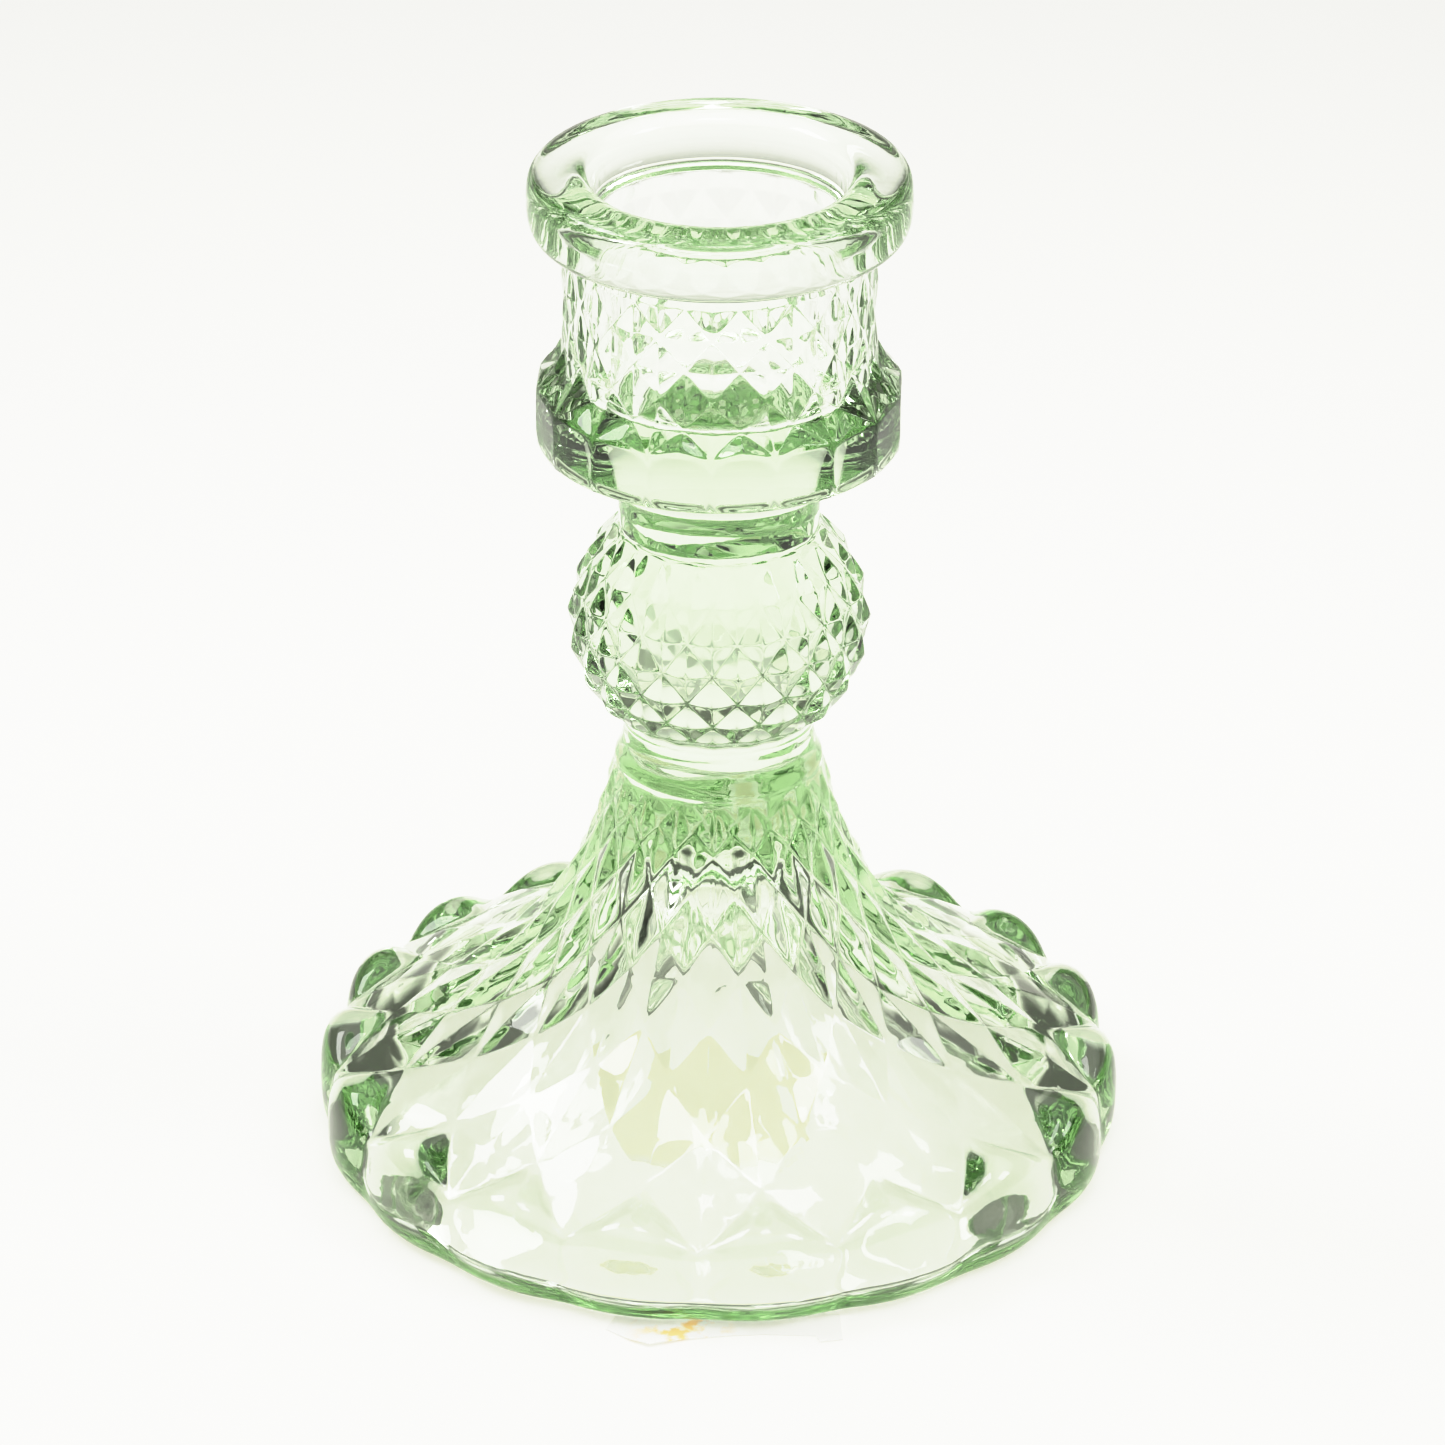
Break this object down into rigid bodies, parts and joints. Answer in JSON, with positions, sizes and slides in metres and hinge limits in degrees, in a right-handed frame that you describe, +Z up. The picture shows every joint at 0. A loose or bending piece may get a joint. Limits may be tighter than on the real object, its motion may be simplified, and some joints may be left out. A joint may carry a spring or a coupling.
{
  "type": "glass candlestick",
  "caption": "Pressed-glass candlestick: flanged socket for a taper candle on a diamond-cut cup, faceted collar, round knop and flared foot with a scalloped edge.",
  "frame": {"origin": "on the candlestick's axis, level with the base ring that it stands on", "axes": "+Z up along the axis towards the candle; -Y is the front, where the torn label shows"},
  "size_m": [0.0776, 0.0775, 0.1004],
  "materials": {
    "green_glass": "fire-polished pressed glass, clear with a pale green tint that deepens with thickness",
    "label_paper": "torn uncoated paper sticker, cream adhesive side up"
  },
  "bodies": {
    "root": {"rim": "green_glass", "candle_cup": "green_glass", "collar": "green_glass", "upper_neck": "green_glass", "knop": "green_glass", "lower_neck": "green_glass", "foot_spire": "green_glass", "foot_skirt": "green_glass", "scalloped_edge": "green_glass", "paper_label": "label_paper"}
  },
  "joints": []
}
